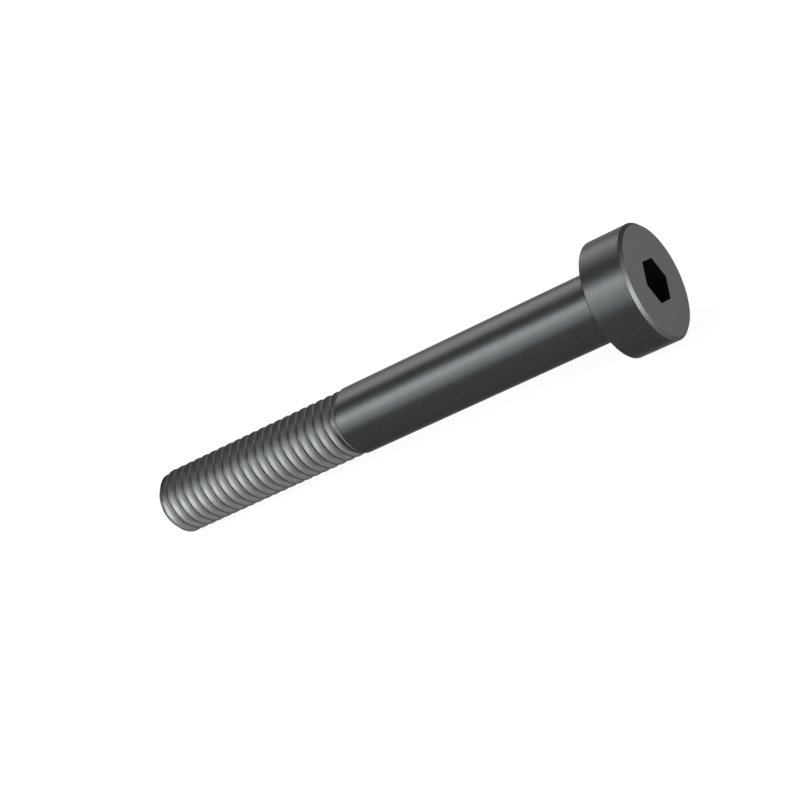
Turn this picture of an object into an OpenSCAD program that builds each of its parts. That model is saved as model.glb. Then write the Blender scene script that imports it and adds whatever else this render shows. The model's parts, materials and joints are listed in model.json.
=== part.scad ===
// Low head socket cap screw, black steel, 5 mm thread, 40 mm under the head.
// It lies as it comes to rest on a level surface: on the back edge of its head and on the last
// full crest of its thread. Units are millimetres. X runs along the screw with the head at +X,
// Z is up, and the origin is under the middle of the screw, on the surface that it lies on.

/* [Head] */
// Diameter of the head
head_d = 8.5; // [8:0.05:9.4]
// Height of the head, from its bearing face to its flat top
head_h = 3.35; // [3.3:0.05:4.2]
// Size of the 45 degree chamfer round the top of the head
head_chamfer = 0.22; // [0.1:0.02:0.5]
// Radius of the round on the back edge of the head
rim_r = 0.1; // [0.05:0.01:0.3]
// Radius of the fillet between the bearing face and the shank
neck_r = 0.2; // [0.1:0.05:0.4]

/* [Socket] */
// Width of the hexagon socket across its flats
socket_af = 3; // [2.4:0.1:3.6]
// Depth of the socket's straight walls
socket_depth = 2.7; // [1.6:0.1:2.8]
// Half of the angle of the drilled point at the bottom of the socket
socket_point = 60; // [50:1:75]

/* [Shank] */
// Diameter of the plain part of the shank
shank_d = 5; // [4.95:0.01:5.2]
// Length of the screw from the bearing face to the tip
screw_len = 40; // [30:1:44]

/* [Thread] */
// Outer diameter of the thread, over its crests
thread_d = 4.9; // [4.8:0.01:4.92]
// Pitch of the thread
pitch = 0.8; // [0.7:0.05:1]
// Depth of the thread, from crest to root
thread_depth = 0.49; // [0.4:0.01:0.52]
// Width of the flat on the crest
crest_flat = 0.1; // [0.06:0.01:0.14]
// Length of the full thread, with the tip
thread_len = 17.4; // [12:0.2:20]
// Turns over which the groove fades out into the shank
fade_turns = 0.7; // [0.6:0.1:2]
// Angle at which the groove begins, round the screw
thread_turn = 198; // [0:2:358]
// Diameter of the flat face at the tip
tip_d = 3.9; // [3.4:0.05:3.9]
// Length of the cone at the tip
tip_len = 0.55; // [0.4:0.05:0.8]
// Flat steps in one turn of the thread
steps = 40; // [24:2:44]

/* [Hidden] */
// Which solid is drawn

// Black oxide finish on steel
black_steel = [0.045, 0.046, 0.047];

// Half of the angle between the two sides of a thread groove
flank = 30;
crest_r = thread_d / 2;
tip_r = tip_d / 2;

// Places along the screw, measured from the top of the head towards the tip
tip_z = head_h + screw_len;
cone_z = tip_z - tip_len;
groove_z = tip_z - thread_len - fade_turns * pitch;
shank_z = groove_z - pitch / 10;

// Where the core of the threaded end begins, inside the plain shank
core_z = shank_z - pitch / 2;

// How far a cutting shape runs past what it cuts
past = pitch;

// Half widths of the full groove, at its root and at the crests
mouth_w = (pitch - crest_flat) / 2;
root_w = mouth_w - thread_depth * tan(flank);

// Steps of the groove from its beginning until it has left the tip
last_step = ceil((tip_z + mouth_w - groove_z) / pitch * steps);

// Share of its full depth that the groove has at a step
function share(j) = min(1, j / (fade_turns * steps));

// Corner of the groove at a step, as [distance along the screw, radius].
// Corners 0 and 3 are its edges on the crests, and 1 and 2 are the two sides of its root.
function corner(j, c) =
    let (mid = groove_z + pitch * j / steps)
    let (half = (c == 0 || c == 3) ? mouth_w : root_w)
    let (side = c < 2 ? -1 : 1)
    let (deep = (c == 0 || c == 3) ? 0 : thread_depth)
    [mid + side * half * share(j), crest_r - deep * share(j)];

// Radius of the cone at the tip, at a distance along the screw
function cone_at(z) = tip_r + (tip_z - z) * (crest_r - tip_r) / tip_len;

// How far a point stands out of the cone, and whether it has to be cut back to it
function proud(p) = p[1] - cone_at(p[0]);
function is_cut(p) = p[0] > tip_z || proud(p) > 0;

// Point straight below p on the cone, and the point where the line from p to q meets the cone
function drop(p) = let (z = min(p[0], tip_z)) [z, min(p[1], cone_at(z))];
function meet(p, q) = p + (q - p) * proud(p) / (proud(p) - proud(q));

// Corner p as it is left by the cone, where q is the root corner on the same side of the groove
function kept(p, q) = !is_cut(p) ? p : is_cut(q) ? drop(p) : meet(p, q);

// Section of one turn at a step: the groove's four corners, the place where the cone begins on
// the crest, and the edge of the next groove
function turn_corner(j, c) =
    c == 0 ? kept(corner(j, 0), corner(j, 1)) :
    c == 1 ? drop(corner(j, 1)) :
    c == 2 ? drop(corner(j, 2)) :
    c == 3 ? kept(corner(j, 3), corner(j, 2)) :
    c == 4 ? crest_end(corner(j, 3), turn_corner(j, 3), turn_corner(j + steps, 0)) :
    turn_corner(j + steps, 0);

// End of the crest behind a groove whose edge is p before the cone cuts it and k afterwards
function crest_end(p, k, next) = is_cut(p) ? k : [min(next[0], cone_z), crest_r];

// Point in space for a place on the section, at a step round the screw
function round_at(j, p) =
    let (a = thread_turn + 360 * (j % steps) / steps)
    [p[1] * cos(a), p[1] * sin(a), p[0]];

// Points of the thread: six for each step, then the rings at both ends of the core
turn_points = [for (j = [0:last_step]) for (c = [0:5]) round_at(j, turn_corner(j, c))];
core_ring = [for (j = [0:steps - 1]) round_at(j, [core_z, crest_r])];
tip_ring = [for (j = [0:steps - 1]) round_at(j, [tip_z, tip_r])];
thread_points = concat(turn_points, core_ring, tip_ring);

// Numbers of those points
function at(j, c) = 6 * j + c;
function on_core(j) = len(turn_points) + j % steps;
function on_tip(j) = len(turn_points) + steps + j % steps;

// Two triangles of a four-sided patch
function patch(a, b, c, d) = [[a, b, c], [a, c, d]];

// The turns themselves
turn_faces = [
    for (j = [0:last_step - 1])
    for (c = [0:4])
    for (f = patch(at(j, c), at(j, c + 1), at(j + 1, c + 1), at(j + 1, c)))
    f
];

// The wall between the beginning of the core and the edge of the first turn
first_faces = [
    for (j = [0:steps - 2])
    for (f = patch(on_core(j), at(j, 0), at(j + 1, 0), on_core(j + 1)))
    f
];

// The last patch of that wall, which also meets the point where the groove begins
start_faces = [
    [on_core(steps - 1), at(steps - 1, 0), at(steps, 0)],
    [on_core(steps - 1), at(steps, 0), at(0, 0)],
    [on_core(steps - 1), at(0, 0), on_core(0)],
];

// The two flat ends
core_faces = [for (j = [1:steps - 2]) [on_core(0), on_core(j), on_core(j + 1)]];
tip_faces = [for (j = [1:steps - 2]) [on_tip(0), on_tip(j + 1), on_tip(j)]];

all_faces = concat(turn_faces, first_faces, start_faces, core_faces, tip_faces);

// A face is left out where the cone or the fading groove has shrunk it to a line or a point
function doubled(f) =
    let (p = [for (i = f) thread_points[i]])
    norm(cross(p[1] - p[0], p[2] - p[0])) < 0.000001;
thread_faces = [for (f = all_faces) if (!doubled(f)) f];

// Centre of the round on the back edge of the head, in the half of the section that faces down
rim_x = head_d / 2 - rim_r;
rim_z = head_h - rim_r;

// How far the axis has to lean until a point p of the thread meets the surface that the round
// lies on: the line from p that touches the round
function lean_to(p) =
    let (run = p[2] - rim_z)
    let (rise = rim_x + p[0])
    atan(rise / run) + asin(rim_r / norm([run, rise]));

// The screw leans down towards its tip until the first point of the thread touches
rest_lean = min([for (p = turn_points) if (p[0] < 0) lean_to(p)]);

// Height of the middle of the head's top as the screw lies
rest_high = rim_x * cos(rest_lean) + rim_z * sin(rest_lean) + rim_r;

// Both ends of the lying screw along X before it is moved over the origin
face_r = head_d / 2 - head_chamfer;
head_end = face_r * sin(rest_lean);
tip_end = -tip_z * cos(rest_lean) - tip_r * sin(rest_lean);
rest_mid = (head_end + tip_end) / 2;

// The threaded end: a core and one right-hand groove that is cut round it, with the cone
module threaded_end() {
    polyhedron(points = thread_points, faces = thread_faces, convexity = 8);
}

// Half of the section of the head, with its chamfer, and its back edge still square
module head_section() {
    polygon([
        [0, 0],
        [face_r, 0],
        [head_d / 2, head_chamfer],
        [head_d / 2, head_h],
        [0, head_h],
    ]);
}

// What the round takes off the back edge of the head
module rim_corner() {
    difference() {
        translate([rim_x, rim_z])
            square(rim_r + past);
        translate([rim_x, rim_z])
            circle(r = rim_r, $fn = 48);
    }
}

// Fillet between the bearing face and the shank, which reaches into both
module neck_section() {
    difference() {
        translate([shank_d / 2 - neck_r, head_h - neck_r])
            square(2 * neck_r);
        translate([shank_d / 2 + neck_r, head_h + neck_r])
            circle(r = neck_r, $fn = 48);
    }
}

// Half of the section of the turned blank: head, fillet and plain shank
module blank_section() {
    difference() {
        head_section();
        rim_corner();
    }
    neck_section();
    square([shank_d / 2, shank_z]);
}

// Hexagon socket with a drilled point at its bottom
module socket() {
    translate([0, 0, -past])
        cylinder(h = socket_depth + past, r = socket_af / 2 / cos(30), $fn = 6);
    translate([0, 0, socket_depth])
        cylinder(h = socket_af / 2 / tan(socket_point), r1 = socket_af / 2, r2 = 0, $fn = 96);
}

// The whole screw along its own axis, with the top of its head at 0 and its tip upwards
module screw() {
    difference() {
        rotate_extrude($fn = 144)
            blank_section();
        socket();
    }
    threaded_end();
}

// The screw as it lies
module cap_screw() {
    color(black_steel)
        translate([-rest_mid, 0, rest_high])
            rotate([0, -90 - rest_lean, 0])
                screw();
}

cap_screw();
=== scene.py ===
# %% [markdown]
# # A low head socket cap screw in black steel
#
# The real thing is one piece of alloy steel. A blank is headed and turned, a hexagon is punched
# into the head, and the thread is rolled onto the end. Then the whole screw is blackened.
# The frame that is loaded here holds its solid. This lesson lays a finer skin over that solid,
# gives it a blackened finish, and lights it in a small white studio.

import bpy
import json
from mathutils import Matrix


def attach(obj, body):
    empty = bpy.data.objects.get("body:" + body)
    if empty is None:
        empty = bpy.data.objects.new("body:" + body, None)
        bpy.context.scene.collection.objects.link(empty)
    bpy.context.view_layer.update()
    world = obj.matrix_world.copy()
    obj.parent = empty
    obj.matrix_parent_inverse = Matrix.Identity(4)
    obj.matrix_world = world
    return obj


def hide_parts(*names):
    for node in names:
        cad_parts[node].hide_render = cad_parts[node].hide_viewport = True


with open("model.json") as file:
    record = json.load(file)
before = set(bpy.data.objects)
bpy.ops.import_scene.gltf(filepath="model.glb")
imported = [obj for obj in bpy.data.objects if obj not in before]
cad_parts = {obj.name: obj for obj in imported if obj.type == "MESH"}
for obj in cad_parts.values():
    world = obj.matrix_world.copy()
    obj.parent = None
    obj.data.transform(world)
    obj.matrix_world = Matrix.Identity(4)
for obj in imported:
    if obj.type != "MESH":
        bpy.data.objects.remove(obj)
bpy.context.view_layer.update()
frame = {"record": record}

# %% [markdown]
# ## Where the screw lies
#
# The screw has its own simple frame: its axis is z, the top of the head is at z = 0 and the tip is
# up the axis. All shapes are easier to write there. The record says where that frame lies: the
# mount named socket gives the middle of the head's top and the direction out of the head.
# Points are worked out in millimetres along the screw and are turned into place in one step.

# %% The screw's own frame
import bpy
import json
import numpy as np
from mathutils import Matrix, Vector

MM = 0.001
mounts = {mount["name"]: mount for mount in frame["record"]["mounts"]}
head_centre = np.array(mounts["socket"]["pos_m"])
out_of_head = np.array(mounts["socket"]["axis"])
out_of_head = out_of_head / np.linalg.norm(out_of_head)

axis_z = -out_of_head
axis_y = np.array([0.0, 1.0, 0.0])
axis_x = np.cross(axis_y, axis_z)
lean = np.degrees(np.arcsin(out_of_head[2]))


def place(points):
    """Millimetres in the screw's frame to metres in the room: each coordinate times its axis,
    summed, from the head's centre."""
    turned = points[..., 0:1] * axis_x + points[..., 1:2] * axis_y + points[..., 2:3] * axis_z
    return head_centre + MM * turned


print("lean of the axis, in degrees:", round(float(lean), 4))

# %% [markdown]
# ## Sizes
#
# The sizes are those of the solid, in millimetres: a screw of this standard has a shank of 5, a
# pitch of 0.8 and a 3 mm key. The head, the crests and the length are a thousandth or two less,
# because the solid's facets cut its own circles that short, and the skin has to stay inside its
# box. Here are the sizes that say where head, shank and thread begin and end. The others follow
# with the part that they belong to.

# %% Sizes in millimetres
head_r, head_h = 4.2485, 3.35
shank_r, screw_len = 2.5, 39.999
crest_r, pitch, thread_len, fade_turns = 2.448, 0.8, 17.35, 0.7

tip_z = head_h + screw_len
groove_z = tip_z - thread_len - fade_turns * pitch
shank_z = groove_z - pitch / 10
print("the groove begins", round(groove_z, 3), "mm from the top of the head")

# %% [markdown]
# ## A profile with rounded corners
#
# Both the turned part and the thread are a flat profile carried round the axis. A corner of such
# a profile is rounded by an arc that touches both of its sides. Every straight side also gets a
# point close to each of its ends: smooth shading blends over one step of the mesh, so these
# points keep the blend in the corner and leave the side flat.

# %% An arc for a corner
def arc_corner(before, corner, after, radius, steps):
    """Points of the arc that rounds a corner: it leaves each side at radius times the tangent of
    half the turn, and swings about the centre that lies at that radius from both sides."""
    way_in = (corner - before) / np.linalg.norm(corner - before)
    way_out = (after - corner) / np.linalg.norm(after - corner)
    turn = np.arccos(np.clip(way_in @ way_out, -1, 1))
    side = np.sign(way_in[0] * way_out[1] - way_in[1] * way_out[0])
    start = corner - way_in * radius * np.tan(turn / 2)
    inwards = side * np.array([-way_in[1], way_in[0]])
    swing = np.linspace(0, turn, steps + 1)[:, None]
    return start + inwards * radius * (1 - np.cos(swing)) + way_in * radius * np.sin(swing)


trial = arc_corner(np.array([0.0, 1.0]), np.array([0.0, 0.0]), np.array([1.0, 0.0]), 0.5, 2)
print("a square corner at 0, 0 that is rounded by 0.5:", trial.round(3).tolist())


# %% A line with rounded corners
def rounded_profile(corners, radii, steps, hold):
    """A line through corners, each rounded to its radius (0 keeps it sharp), with a held point
    near both ends of each side: at the distance hold from the corner's arc, or at a fifth of the
    side if that is less."""
    largest_share, no_length = 0.2, 1e-9
    corners = np.array(corners, float)
    bends = [corners[:1]]
    for k in range(1, len(corners) - 1):
        if radii[k] > 0:
            bends.append(arc_corner(*corners[k - 1 : k + 2], radii[k], steps[k]))
        else:
            bends.append(corners[k : k + 1])
    bends.append(corners[-1:])
    line = [bends[0]]
    for left, right in zip(bends[:-1], bends[1:]):
        side = right[0] - left[-1]
        length = np.linalg.norm(side)
        if length > no_length:
            share = min(hold / length, largest_share)
            line.append(left[-1] + side * np.array([[share], [1 - share]]))
        line.append(right)
    return np.concatenate(line)


trial = rounded_profile([[0, 1], [0, 0], [1, 0]], [0, 0.5, 0], [0, 2, 0], 0.05)
print("points of the same corner with its two sides held flat:", len(trial))

# %% [markdown]
# ## The turned part
#
# Head, neck and shank are a lathe shape, so one profile of distance from the axis and height is
# enough. Only the socket is not round. Its hexagon is written in the same way, as a distance from
# the axis that changes with the angle: half the width across the flats, divided by the cosine of
# the angle to the middle of the nearest flat. Each row of the mesh says how much of its distance
# is that hexagon, and how much is plain circle. No real edge is perfectly sharp, and a round of
# two hundredths of a millimetre is what catches the light along it, so the rims of the head and of
# the socket get one.

# %% Round the axis
turn_steps = 120
thread_turn, socket_af, flat_turn = 198.0, 3.0, 360 / 6
angles = np.radians(thread_turn) + np.arange(turn_steps) * 2 * np.pi / turn_steps
from_flat = np.mod(np.degrees(angles), flat_turn) - flat_turn / 2
hexagon = socket_af / 2 / np.cos(np.radians(from_flat))
print("the hexagon is", round(float(2 * hexagon.min()), 3), "mm across its flats")

# %% Rows of the socket
# from its deepest point to the face; a row is its share of the hexagon, its circle, and its place
# along the axis
socket_depth, socket_point, edge_r = 2.7, 60.0, 0.02
point_slope = np.tan(np.radians(socket_point))
hole_z = socket_depth + socket_af / 2 / point_slope
point_circles = (0.3, 0.8, 1.3, 1.5)
wall_places = (socket_depth, socket_depth - 0.05, 1.8, 0.9, 0.08)
quarter = np.radians(np.array([0, 30, 60, 90]))
face_rows = [[1, 0.08, 0], [0.5, 1.25, 0]]
socket_rows = np.array(
    [[0, circle, hole_z - circle / point_slope] for circle in point_circles]
    + [[1, 0, along] for along in wall_places]
    + [[1, edge_r * (1 - np.cos(a)), edge_r * (1 - np.sin(a))] for a in quarter]
    + face_rows
)
print("rows of the socket:", len(socket_rows))

# %% Rows of the outside
head_chamfer, rim_r, neck_r = 0.22, 0.1, 0.2
face_start, step_down, collar_len, outer_hold = 2.6, 0.05, 0.03, 0.06
outer_corners = [
    [face_start, 0], [head_r - head_chamfer, 0], [head_r, head_chamfer], [head_r, head_h],
    [shank_r, head_h], [shank_r, shank_z - step_down], [crest_r, shank_z],
    [crest_r, shank_z + collar_len],
]
outer_radii = [0, edge_r, edge_r, rim_r, neck_r, edge_r, edge_r, 0]
outer = rounded_profile(outer_corners, outer_radii, [0, 3, 3, 6, 6, 2, 2, 0], outer_hold)
turned_rows = np.concatenate([socket_rows, np.column_stack([np.zeros(len(outer)), outer])])
print("rows of the outside:", len(outer))


# %% The rows carried round
def carried_round(rows, angles, hexagon):
    """Rows of (share of hexagon, circle, z) carried round the axis: the distance from the axis is
    share times the hexagon's distance at that angle plus the circle's, and the angle gives x by
    cosine and y by sine."""
    share, circle, along = rows.T
    reach = share[:, None] * hexagon + circle[:, None]
    along = np.broadcast_to(along[:, None], reach.shape)
    return np.stack([reach * np.cos(angles), reach * np.sin(angles), along], axis=-1)


turned = carried_round(turned_rows, angles, hexagon)
print("turned part, rows by steps round the axis:", turned.shape[:2])

# %% [markdown]
# ## The thread
#
# A thread is one groove that climbs a pitch in each turn. A rolled groove has flanks at 30 degrees
# to each side, a rounded root and a narrow flat crest between two grooves. A bump map would fake
# it, but it would leave the outline of the screw straight, so the groove is real surface here.
# Its section is drawn once, and at every angle it is moved along the axis by the climb. The round
# of its root is an eighth of the pitch, which leaves hardly any flat between the two flanks.

# %% The section of the groove
thread_depth, crest_flat, flank_angle = 0.49, 0.1, 30.0
crest_edge_r, root_r = 0.015, pitch / 8
thread_hold, edge_room = 0.03, 0.02
mouth = (pitch - crest_flat) / 2
root = mouth - thread_depth * np.tan(np.radians(flank_angle))
groove_corners = [
    [-pitch / 2, 0], [-mouth, 0], [-root, -thread_depth],
    [root, -thread_depth], [mouth, 0], [pitch / 2, 0],
]
groove_radii = [0, crest_edge_r, root_r, root_r, crest_edge_r, 0]
section = rounded_profile(groove_corners, groove_radii, [0, 2, 3, 3, 2, 0], thread_hold)
section = section[(section[:, 0] > -mouth - edge_room) & (section[:, 0] < mouth + edge_room)]
crest = np.array([0.25, 0.75])
per_turn = len(section) + len(crest)
print("rows in one turn of the thread:", per_turn)

# %% [markdown]
# ## The run-out
#
# Where the thread ends on the shank, the die leaves a run-out. The groove begins as a scratch that
# follows the helix for a fifth of a turn, and then it opens towards the head. One turn on, it is
# pinched again at the same place, so a broader strip of plain metal stays beside the scratch.
# All of this is one number for each angle: the share of its full size that the groove has there.

# %% How far the groove has grown
turns = int(np.ceil((tip_z + mouth - groove_z) / pitch)) + 1
climb = np.arange(turns + 1)[None, :] + (np.arange(turn_steps) / turn_steps)[:, None]


def smooth_step(low, high, value):
    """0 below low, 1 above high, and between them three times the square less twice the cube of
    the share."""
    share = np.clip((value - low) / (high - low), 0, 1)
    return share * share * (3 - 2 * share)


# what the groove gains, and the turns at which that begins and ends
scratch, opening, widening = (0.13, 0.08, 0.18), (0.67, 0.29, 0.46), (0.20, 0.5, 0.9)
stages = (scratch, opening, widening)
grown = sum(gain * smooth_step(low, high, climb) for gain, low, high in stages)

# what the pinch takes away, and the turns at which it sets in and lets go
pinch, sets_in, lets_go = 0.28, (1.06, 1.16), (1.30, 1.42)
grown = grown - pinch * smooth_step(*sets_in, climb) * (1 - smooth_step(*lets_go, climb))
print("share of its full size at half a turn:", round(float(grown[turn_steps // 2, 0]), 3))

# %% The helical rows
# groove rows: the section shrinks towards its edge on the tip's side, which stays on the helix
middle = groove_z + pitch * climb
tip_edge = section[-1, 0]
groove_along = middle[..., None] + tip_edge - grown[..., None] * (tip_edge - section[:, 0])
groove_reach = crest_r + grown[..., None] * section[:, 1]

# crest rows: from the end of one groove to the beginning of the next
gap = groove_along[:, 1:, :1] - groove_along[:, :-1, -1:]
crest_along = groove_along[:, :-1, -1:] + gap * crest
crest_reach = np.full_like(crest_along, crest_r)

along = np.concatenate([groove_along[:, :-1], crest_along], axis=-1).reshape(turn_steps, -1)
reach = np.concatenate([groove_reach[:, :-1], crest_reach], axis=-1).reshape(turn_steps, -1)
print("the thread has", turns, "turns before the tip is cut")

# %% The step down from the shank
# it follows the edge of the first groove, and ends a little before it
step_room, step_end = 0.15, 0.02
step_rows = turned_rows[:, 2] > shank_z - step_room
turned[step_rows, :, 2] += groove_along[:, 0, 0] - step_end - turned_rows[-1, 2]
print("rows that follow the groove:", int(step_rows.sum()))

# %% [markdown]
# ## Painted light on the flanks
#
# The flanks of the thread are painted lighter than the rest, and lightest low down, where this
# painted light lifts the shade that the neighbouring crests cast. At the root it falls back to
# nothing. So the value of a row depends on how deep it lies in the groove. The value is kept with
# the rows and becomes an attribute of the mesh, which the finish reads later on.

# %% The painted light of each row
# painted light by depth in the groove: none at the crest, most low on the flank, none at the root
depths, painted_light_levels = [0.0, 0.02, 0.89, 0.95, 0.99], [0.0, 0.22, 0.92, 0.5, 0.0]
painted_light_by_depth = np.interp(-section[:, 1] / thread_depth, depths, painted_light_levels)
painted_light_rows = np.concatenate([painted_light_by_depth, np.zeros(len(crest))])
print("most polish:", round(float(painted_light_rows.max()), 3))

# %% [markdown]
# ## The tip
#
# The end of the real screw is cut by a cone before the thread is rolled, so the last turns are
# clipped by it. Here the rows go on past the tip, and the cone brings them back. A point that
# stands out of the cone drops onto it. A point at the border moves to the place where the line to
# its neighbour inside meets the cone, so the edge of the last groove comes out clean.

# %% The cone
tip_r, tip_len = 1.95, 0.55


def cone_reach(z):
    """Distance of the cone from the axis: the tip's radius, plus what it widens for each
    millimetre back from the tip."""
    return tip_r + (tip_z - z) * (crest_r - tip_r) / tip_len


def meeting(z0, r0, z1, r1):
    """Where the line between two points meets the cone: the two heights above the cone share out
    the way."""
    over0, over1 = r0 - cone_reach(z0), r1 - cone_reach(z1)
    parallel = np.abs(over0 - over1) < 1e-12
    share = over0 / np.where(parallel, 1, over0 - over1)
    return z0 + share * (z1 - z0), r0 + share * (r1 - r0)


proud = (reach > cone_reach(along)) | (along > tip_z)
print("points that stand out of the cone:", int(proud.sum()))

# %% Cut the tip
dropped_along = np.minimum(along, tip_z)
dropped_reach = np.minimum(reach, cone_reach(dropped_along))
cut_along = np.where(proud, dropped_along, along)
cut_reach = np.where(proud, dropped_reach, reach)
for step, end_row in ((1, 0), (-1, -1)):
    z_in, r_in = np.roll(along, step, axis=1), np.roll(reach, step, axis=1)
    border = proud & ~np.roll(proud, step, axis=1)
    border[:, end_row] = False
    z_cross, r_cross = meeting(along, reach, z_in, r_in)
    inside_tip = border & (z_cross < tip_z)
    cut_along = np.where(inside_tip, z_cross, cut_along)
    cut_reach = np.where(inside_tip, r_cross, cut_reach)
thread = np.stack(
    [cut_reach * np.cos(angles)[:, None], cut_reach * np.sin(angles)[:, None], cut_along], axis=-1
)
painted_flank_light = np.where(proud, 0, np.tile(painted_light_rows, turns))
print("thread, steps round the axis by rows:", thread.shape[:2])

# %% [markdown]
# ## One closed skin
#
# The rows of the turned part are rings, and each ring is joined to the next. The thread is one
# long ribbon: at the end of a turn its rows meet the rows of the next turn, one pitch further on.
# Both are grids of numbered points, so one function makes the faces of either.

# %% Number the points
ring_count, ribbon_rows = turned.shape[0], along.shape[1]
turned_count = ring_count * turn_steps


def ring(row, column):
    """Number of a point of the turned part: a whole ring for each row before it, plus its step
    round the axis."""
    return row * turn_steps + column % turn_steps


def ribbon(row, column):
    """Number of a point of the thread: all turned points, plus all rows for each step round the
    axis before it, plus its row."""
    return turned_count + column * ribbon_rows + row


def faces(*corners):
    """Faces from the numbers of their corners, which go round the face as seen from outside."""
    return np.stack(np.broadcast_arrays(*corners), axis=-1).reshape(-1, len(corners))


def grid(number, rows, columns):
    """Four-sided faces of a grid: a point, the next column, the next row of that, the next row."""
    return faces(number(rows, columns), number(rows, columns + 1),
                 number(rows + 1, columns + 1), number(rows + 1, columns))


print("points of the turned part and of the thread:", turned_count, thread.shape[0] * ribbon_rows)

# %% Join rings and ribbon
last_ring, last_column = ring_count - 1, turn_steps - 1
columns = np.arange(turn_steps)
ring_quads = grid(ring, np.arange(last_ring)[:, None], columns)
ribbon_quads = grid(ribbon, np.arange(ribbon_rows - 1), columns[:-1, None])
seam = np.arange(ribbon_rows - per_turn - 1)
seam_quads = faces(ribbon(seam, last_column), ribbon(seam + per_turn, 0),
                   ribbon(seam + per_turn + 1, 0), ribbon(seam + 1, last_column))
collar = columns[:-1]
collar_quads = faces(ring(last_ring, collar), ring(last_ring, collar + 1),
                     ribbon(0, collar + 1), ribbon(0, collar))
quads = np.concatenate([ring_quads, ribbon_quads, seam_quads, collar_quads])
print("four-sided faces:", len(quads))

# %% [markdown]
# ## Close what is left open
#
# The ribbon climbs a pitch in its first turn, and where it comes round to its own beginning, a fan
# of triangles fills the wedge that is left. The bottom of the socket and the flat of the tip are
# fans round a point on the axis. Points that fall together, at the start of the groove and at the
# tip, are then made one, and faces that lose a corner by it become triangles or vanish.

# %% Wedge and ends
hinge = ring(last_ring, last_column)
wedge_rows = np.arange(per_turn)
wedge = faces(hinge, ribbon(wedge_rows, 0), ribbon(wedge_rows + 1, 0))
wedge_ends = np.array([
    [hinge, ribbon(per_turn, 0), ribbon(0, last_column)],
    [hinge, ring(last_ring, 0), ribbon(0, 0)],
])

socket_pole = turned_count + thread.shape[0] * ribbon_rows
tip_pole = socket_pole + 1
socket_fan = faces(socket_pole, ring(0, columns + 1), ring(0, columns))
tip_ring = ribbon(ribbon_rows - 1, columns)
tip_fan = faces(tip_pole, tip_ring, np.roll(tip_ring, -1))

triangles = np.concatenate([wedge, wedge_ends, socket_fan, tip_fan])
poles = np.array([[0, 0, hole_z], [0, 0, tip_z]])
points = np.concatenate([turned.reshape(-1, 3), thread.reshape(-1, 3), poles])
print("three-sided faces:", len(triangles))

# %% Make coincident points one
decimals = 5
_, kept, number = np.unique(
    np.round(points, decimals), axis=0, return_index=True, return_inverse=True
)
number = number.reshape(-1)
quads, triangles = number[quads], number[triangles]
doubled = quads == np.roll(quads, -1, axis=1)
folded = doubled.sum(axis=1)
whole_quads = quads[folded == 0]
half_quads = quads[folded == 1][~doubled[folded == 1]].reshape(-1, 3)
triangles = np.concatenate([triangles, half_quads])
triangles = triangles[(triangles != np.roll(triangles, -1, axis=1)).all(axis=1)]
points = points[kept]
painted_light_all = np.concatenate([np.zeros(turned_count), painted_flank_light.ravel(), [0, 0]])[kept]
print("points, quads and triangles:", len(points), len(whole_quads), len(triangles))

# %% [markdown]
# ## Into Blender
#
# The arrays go straight into a mesh. Its faces are shaded smooth, and edges that turn by more than
# 35 degrees, such as those of the hexagon, stay sharp. Three sums then test the skin: every edge
# must have exactly two faces, no point may be without a face, and the volume must be positive,
# which says that the faces look outwards.

# %% The screw's skin
sharp_from = np.radians(35)
mesh = bpy.data.meshes.new("screw_skin")
mesh.from_pydata(place(points).tolist(), [], whole_quads.tolist() + triangles.tolist())
mesh.shade_smooth()
# the mesh carries the painted light of the flanks
painted_light_values = mesh.attributes.new("painted_flank_light", "FLOAT", "POINT").data
painted_light_values.foreach_set("value", painted_light_all.astype(np.float32))
mesh.set_sharp_from_angle(angle=sharp_from)
skin = bpy.data.objects.new("screw_skin", mesh)
bpy.context.scene.collection.objects.link(skin)

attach(skin, "root")
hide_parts("cap_screw")
print("faces of the skin:", len(mesh.polygons))

# %% Test the skin
corners = np.concatenate([whole_quads[:, [0, 1, 2]], whole_quads[:, [0, 2, 3]], triangles])
a, b, c = (points[corners[:, k]] for k in range(3))
volume = np.einsum("ij,ij->i", a, np.cross(b, c)).sum() / 6
sides = np.sort(np.concatenate([
    faces(numbers.ravel(), np.roll(numbers, -1, axis=1).ravel())
    for numbers in (whole_quads, triangles)
]), axis=1)
faces_per_edge = np.unique(sides, axis=0, return_counts=True)[1]
print("volume", round(float(volume), 2), "mm3; triangles:", len(corners))
print("edges without two faces:", int((faces_per_edge != 2).sum()),
      "; points without a face:", len(points) - len(np.unique(corners)))

# %% [markdown]
# ## A small language for materials
#
# A material is a web of nodes, and its arithmetic reads best as arithmetic. The class Value wraps
# one output of a node. Adding, subtracting or multiplying two of them adds the Math node that does
# it. Every other node comes from one method, which sets the node's options first and then its
# inputs.

# %% Shader maths
class Value:
    """One output of a shader node. Operators add Math nodes to the same material."""

    def __init__(self, web, socket):
        self.web, self.socket = web, socket

    def math(self, operation, *others):
        """A Math node that works on this value and the others, in that order."""
        return self.web.maths(operation, self, *others)

    def __add__(self, other): return self.math("ADD", other)
    def __radd__(self, other): return self.math("ADD", other)
    def __sub__(self, other): return self.math("SUBTRACT", other)
    def __rsub__(self, other): return self.web.maths("SUBTRACT", other, self)
    def __mul__(self, other): return self.math("MULTIPLY", other)
    def __rmul__(self, other): return self.math("MULTIPLY", other)
    def root(self): return self.math("SQRT")

    def rise(self, low, high):
        """0 below low, 1 above high, and a smooth rise between them."""
        settings = {"data_type": "FLOAT", "interpolation_type": "SMOOTHSTEP"}
        inputs = {"Value": self, "From Min": low, "From Max": high}
        return self.web.node("ShaderNodeMapRange", settings, inputs)

    def beside(self, name):
        """Another output of the node that this value comes from."""
        return Value(self.web, self.socket.node.outputs[name])


print("reflected operators:", [name for name in vars(Value) if name.startswith("__r")])


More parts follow.
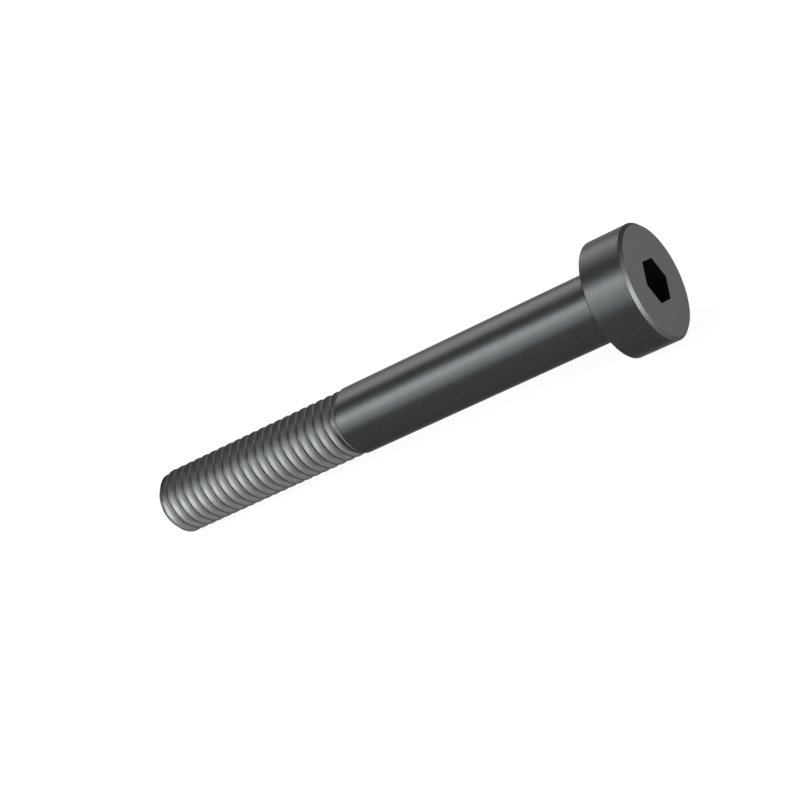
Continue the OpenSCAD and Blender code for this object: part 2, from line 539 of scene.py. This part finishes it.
# %% The nodes of a finish
class Web:
    """The nodes of one material or of the world."""

    def __init__(self, owner):
        owner.use_nodes = True
        self.tree = owner.node_tree
        self.tree.nodes.clear()

    def node(self, kind, settings=None, inputs=None, output=0):
        """Adds a node of that kind, sets its options, then its inputs, and returns one of its
        outputs."""
        made = self.tree.nodes.new(kind)
        for name, setting in (settings or {}).items():
            setattr(made, name, setting)
        for name, value in (inputs or {}).items():
            if isinstance(value, Value):
                self.tree.links.new(value.socket, made.inputs[name])
            else:
                made.inputs[name].default_value = value
        return Value(self, made.outputs[output]) if len(made.outputs) else None

    def maths(self, operation, *values):
        """A Math node on these values or numbers."""
        return self.node("ShaderNodeMath", {"operation": operation}, dict(enumerate(values)))

    def blend(self, factor, start, end):
        """A colour that is start where the factor is 0 and end where it is 1. A Mix node has its
        two colours in inputs 6 and 7 and their mix in output 2."""
        inputs = {"Factor": factor, 6: start, 7: end}
        return self.node("ShaderNodeMix", {"data_type": "RGBA"}, inputs, output=2)


print("methods:", [name for name in vars(Web) if not name.startswith("__")])

# %% [markdown]
# ## Black oxide on steel
#
# Blackened steel is dark because its oxide layer swallows most of the light, yet it still shines
# like metal. So the finish is a metal with a very dark colour. The layer is thin, and the colour
# is lighter on the pressed face of the head and on the chamfer round it. The flanks of the thread
# are painted lighter still, most of all low down, where this painted light lifts the shade that
# the neighbouring crests cast. Crests and roots stay as dark as the shank. Inside the socket the
# colour
# is a little darker than the shank: painted shade in the recess. The face, the chamfer and the
# socket are found by the distance along the axis and the distance from it. Both come from Object
# coordinates, which a Mapping node turns into the screw's own frame. The painted light of the
# flanks follows the groove, so it is an attribute that the mesh carries.

# %% Where each finish is
finish = bpy.data.materials.new("black_steel")
web = Web(finish)

room = web.node("ShaderNodeTexCoord", output="Object")
own = web.node(
    "ShaderNodeMapping", {"vector_type": "TEXTURE"},
    {"Vector": room, "Location": tuple(head_centre),
     "Rotation": (0, np.radians(-90 - lean), 0), "Scale": (MM, MM, MM)},
)
across = web.node("ShaderNodeSeparateXYZ", inputs={"Vector": own}, output="X")
upward, depth = across.beside("Y"), across.beside("Z")
radius = (across * across + upward * upward).root()

# the places at which a finish fades in or out, in millimetres
soft_edge, face_r = 0.02, head_r - head_chamfer
mouth_of_socket, wall_of_socket, end_of_socket = (0.02, 0.1), (1.8, 1.9), (3.8, 4.0)
# the painted light of the flanks, read from the mesh
flank_painted_light = web.node("ShaderNodeAttribute", {"attribute_name": "painted_flank_light"}, output="Fac")
on_top = 1 - depth.rise(head_chamfer - soft_edge, head_chamfer)
on_chamfer = on_top * radius.rise(face_r - soft_edge, face_r)
# inside the socket the colour is a little darker: painted shade in the recess
in_socket = depth.rise(*mouth_of_socket) * (1 - radius.rise(*wall_of_socket))
in_socket = in_socket * (1 - depth.rise(*end_of_socket))
print("nodes that find the places:", len(web.tree.nodes))

# %% Its colour
clouds = web.node(
    "ShaderNodeTexNoise", {"noise_dimensions": "3D"},
    {"Vector": own, "Scale": 1.6, "Detail": 4.0, "Roughness": 0.55},
)
grain = web.node(
    "ShaderNodeTexNoise", {"noise_dimensions": "3D"},
    {"Vector": own, "Scale": 14.0, "Detail": 3.0, "Roughness": 0.6},
)
dark_oxide, thin_oxide = (0.0340, 0.0355, 0.0357, 1), (0.0385, 0.0398, 0.0398, 1)
pressed_steel, chamfer_steel = (0.124, 0.129, 0.128, 1), (0.073, 0.076, 0.076, 1)
# the flanks' colour is painted light; the socket's darker colour is painted shade
flank_painted_light_colour, socket_painted_shade = (0.320, 0.330, 0.325, 1), (0.030, 0.032, 0.031, 1)
colour = web.blend(clouds.rise(0.3, 0.7), dark_oxide, thin_oxide)
for mask, there in ((on_top, pressed_steel), (on_chamfer, chamfer_steel),
                    (flank_painted_light, flank_painted_light_colour), (in_socket, socket_painted_shade)):
    colour = web.blend(mask, colour, there)
print("nodes with the colours:", len(web.tree.nodes))

# %% Its gloss
as_coated, uneven, on_flanks, as_cut = 0.35, 0.04, 0.10, 0.17
roughness = as_coated + uneven * (clouds - 0.5) + uneven * (grain - 0.5)
roughness = roughness + on_flanks * flank_painted_light.rise(0.0, 0.2) + as_cut * on_chamfer
bump = web.node(
    "ShaderNodeBump", inputs={"Strength": 0.05, "Distance": 0.00001, "Height": grain},
)
surface = web.node(
    "ShaderNodeBsdfPrincipled",
    inputs={"Base Color": colour, "Metallic": 1.0, "Roughness": roughness, "Normal": bump,
            "Specular Tint": (0.5, 0.5, 0.5, 1)},
)
web.node("ShaderNodeOutputMaterial", inputs={"Surface": surface})
skin.data.materials.append(finish)
print("nodes in the finish:", len(web.tree.nodes))

# %% [markdown]
# ## The camera
#
# The camera stands in front of the head's end, above the floor, and looks down on the lying
# screw. It is rolled to one side, so the screw runs up to the right through the picture. A long
# lens from about fifteen centimetres keeps the far end of the thread nearly as large as the head.

# %% Camera
camera_data = bpy.data.cameras.new("camera")
camera_data.sensor_width = 36.0
camera_data.lens = 100.5209
camera_data.clip_start = 0.005
camera_data.clip_end = 20.0
camera = bpy.data.objects.new("camera", camera_data)
right = Vector((0.80748669, 0.17842797, -0.56225324))
up = Vector((0.33320121, 0.64856862, 0.68435057))
back = Vector((0.48676709, -0.73994743, 0.46425811))
stand = (0.07709489, -0.11732234, 0.07700905)
turned_to = Matrix((right, up, back)).transposed().to_4x4()
camera.matrix_world = Matrix.Translation(stand) @ turned_to
bpy.context.scene.collection.objects.link(camera)
bpy.context.scene.camera = camera
print("camera at", [round(v, 4) for v in camera.matrix_world.translation])

# %% [markdown]
# ## The floor
#
# The screw lies on a plain white floor that runs out of sight. The eye should see that floor as
# white as paper, also where it mirrors in the metal, and the light on the screw should still be
# modest. So rays from the eye, and those that it bends by a glossy or a clear surface, see a
# strength of 1 in the floor. The floor keeps a part of its own shading, which holds the soft
# shadow of the screw.

# %% Floor
def seen_directly(web):
    """1 for rays from the eye and for those by way of a mirror or glass, else 0: the largest of
    the three marks that a ray carries."""
    camera_ray = web.node("ShaderNodeLightPath").beside("Is Camera Ray")
    glossy_ray = camera_ray.beside("Is Glossy Ray")
    clear_ray = camera_ray.beside("Is Transmission Ray")
    return camera_ray.math("MAXIMUM", glossy_ray).math("MAXIMUM", clear_ray)


half, paper_white, glow_share = 1.5, (0.9, 0.9, 0.9, 1), 0.90
floor_mesh = bpy.data.meshes.new("floor")
floor_mesh.from_pydata(
    [(-half, -half, 0), (half, -half, 0), (half, half, 0), (-half, half, 0)], [], [(0, 1, 2, 3)]
)
floor = bpy.data.objects.new("floor", floor_mesh)
bpy.context.scene.collection.objects.link(floor)

floor_finish = bpy.data.materials.new("white_floor")
web = Web(floor_finish)
paper = web.node("ShaderNodeBsdfDiffuse", inputs={"Color": paper_white})
white = web.node("ShaderNodeEmission", inputs={"Color": (1, 1, 1, 1), "Strength": 1.0})
share = glow_share * seen_directly(web)
both = web.node("ShaderNodeMixShader", inputs={0: share, 1: paper, 2: white})
web.node("ShaderNodeOutputMaterial", inputs={"Surface": both})
floor_mesh.materials.append(floor_finish)
print("floor, metres across:", 2 * half)

# %% [markdown]
# ## The room
#
# The room above the floor is a plain grey, which fills the sides that no lamp reaches. One corner
# of it, behind the screw and past its head, is left dark: the upper part of the thread mirrors
# that corner, and it would look flat if all of the room were equally grey. The shade is worked
# out from the direction alone: its dot product with the way to that corner.

# %% World
dark_corner, corner_rise = (0.75, 0.60, 0.28), (0.45, 0.85)
room_grey, corner_grey = (0.50, 0.50, 0.50, 1), (0.12, 0.12, 0.12, 1)
world = bpy.data.worlds.new("studio")
bpy.context.scene.world = world
web = Web(world)
direction = web.node("ShaderNodeTexCoord", output="Generated")
towards_corner = web.node(
    "ShaderNodeVectorMath", {"operation": "DOT_PRODUCT"}, {0: direction, 1: dark_corner},
    output="Value",
)
grey = web.blend(towards_corner.rise(*corner_rise), room_grey, corner_grey)
sky = web.node("ShaderNodeBackground", inputs={"Color": grey, "Strength": 1.0})
web.node("ShaderNodeOutputWorld", inputs={"Surface": sky})
print("nodes in the world:", len(web.tree.nodes))

# %% [markdown]
# ## Lamps
#
# Each lamp is a soft rectangle that faces the screw. A cylinder shows a lamp as a long streak, and
# where the streak runs depends only on the direction of the lamp, so every lamp is written as
# a direction, a size and a strength of glow. Two lamps in front, one above the other, make the
# broad cool streak that fades downwards. Two behind make the narrower warm one near the top. They
# stand askew to the screw, so the streaks wander a little on their way along it. The last lamp
# stands beyond the head and lights the flanks of the thread that face it, and the chamfer.

# %% Lamps
def softbox(name, direction, along, size, glow, colour=(1, 1, 1), distance=0.6):
    """A rectangular lamp at that direction and distance from the screw's middle, turned to face
    it, with its first side along the given line. Glow is the radiance of its surface: its power
    in watts is glow times area times pi."""
    way = Vector(direction).normalized()
    second = way.cross(Vector(along)).normalized()
    first = second.cross(way)
    lamp = bpy.data.lights.new(name, "AREA")
    lamp.shape = "RECTANGLE"
    lamp.size, lamp.size_y = size
    lamp.energy = glow * size[0] * size[1] * np.pi
    lamp.color = colour
    holder = bpy.data.objects.new(name, lamp)
    facing = Matrix((first, second, way)).transposed().to_4x4()
    holder.matrix_world = Matrix.Translation(way * distance) @ facing
    bpy.context.scene.collection.objects.link(holder)


front_line, back_line, across_room = (0.82, 0.44, 0.36), (0.60, 0.48, -0.64), (0, 1, 0)
cool, warm, warmer = (0.97, 1.0, 1.0), (1.0, 0.97, 0.94), (1.0, 0.96, 0.92)
softbox("lamp_front", (-0.50, -0.48, 0.72), front_line, (0.34, 0.17), 14.0, cool)
softbox("lamp_front_low", (-0.50, -0.75, 0.43), front_line, (0.32, 0.26), 5.0, cool)
softbox("lamp_back", (-0.50, 0.63, 0.60), back_line, (0.40, 0.18), 8.7, warm)
softbox("lamp_back_low", (-0.45, 0.86, 0.24), back_line, (0.32, 0.25), 1.7, warmer)
softbox("lamp_head_end", (0.80, -0.56, 0.21), across_room, (0.52, 0.26), 23.0)

# %% [markdown]
# ## Picture settings
#
# The Standard view shows colours as they are written.

# %% Picture settings
bpy.context.scene.view_settings.view_transform = "Standard"
